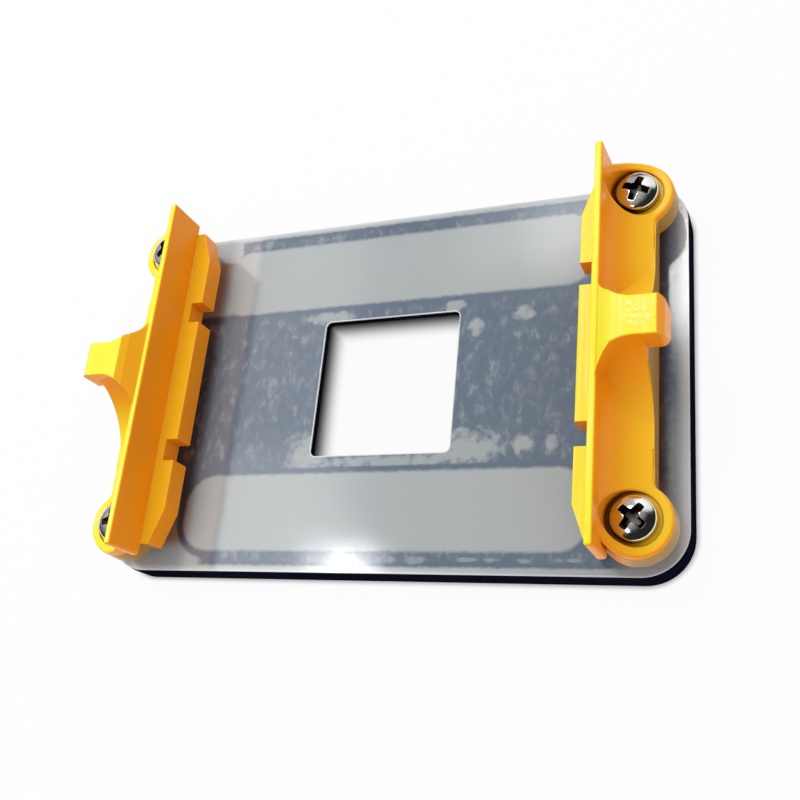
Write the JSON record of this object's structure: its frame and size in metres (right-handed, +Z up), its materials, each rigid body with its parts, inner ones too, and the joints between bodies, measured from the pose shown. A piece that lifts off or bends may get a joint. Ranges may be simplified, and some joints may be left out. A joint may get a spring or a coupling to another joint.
{
  "type": "cpu cooler backplate",
  "caption": "Shallow steel backplate with a square opening, insulating film and tapped posts that carry moulded clip brackets held by pan head screws.",
  "frame": {"origin": "centre of the plate's outline, on the rim the pan stands on", "axes": "+X from the left bracket to the right bracket, +Y along the brackets away from the viewer, +Z up from the pan to the brackets"},
  "size_m": [0.1042, 0.0676, 0.0247],
  "materials": {
    "steel_plate": "black coated steel",
    "film": "milky insulating film",
    "bracket_plastic": "glossy yellow moulding",
    "post_steel": "plated steel",
    "screw_steel": "bright nickel plate"
  },
  "bodies": {
    "root": {"backplate": "steel_plate", "insulating_film": "film", "left_bracket": "bracket_plastic", "right_bracket": "bracket_plastic", "left_near_post": "post_steel", "left_far_post": "post_steel", "right_near_post": "post_steel", "right_far_post": "post_steel", "left_near_screw": "screw_steel", "left_far_screw": "screw_steel", "right_near_screw": "screw_steel", "right_far_screw": "screw_steel"}
  },
  "joints": []
}
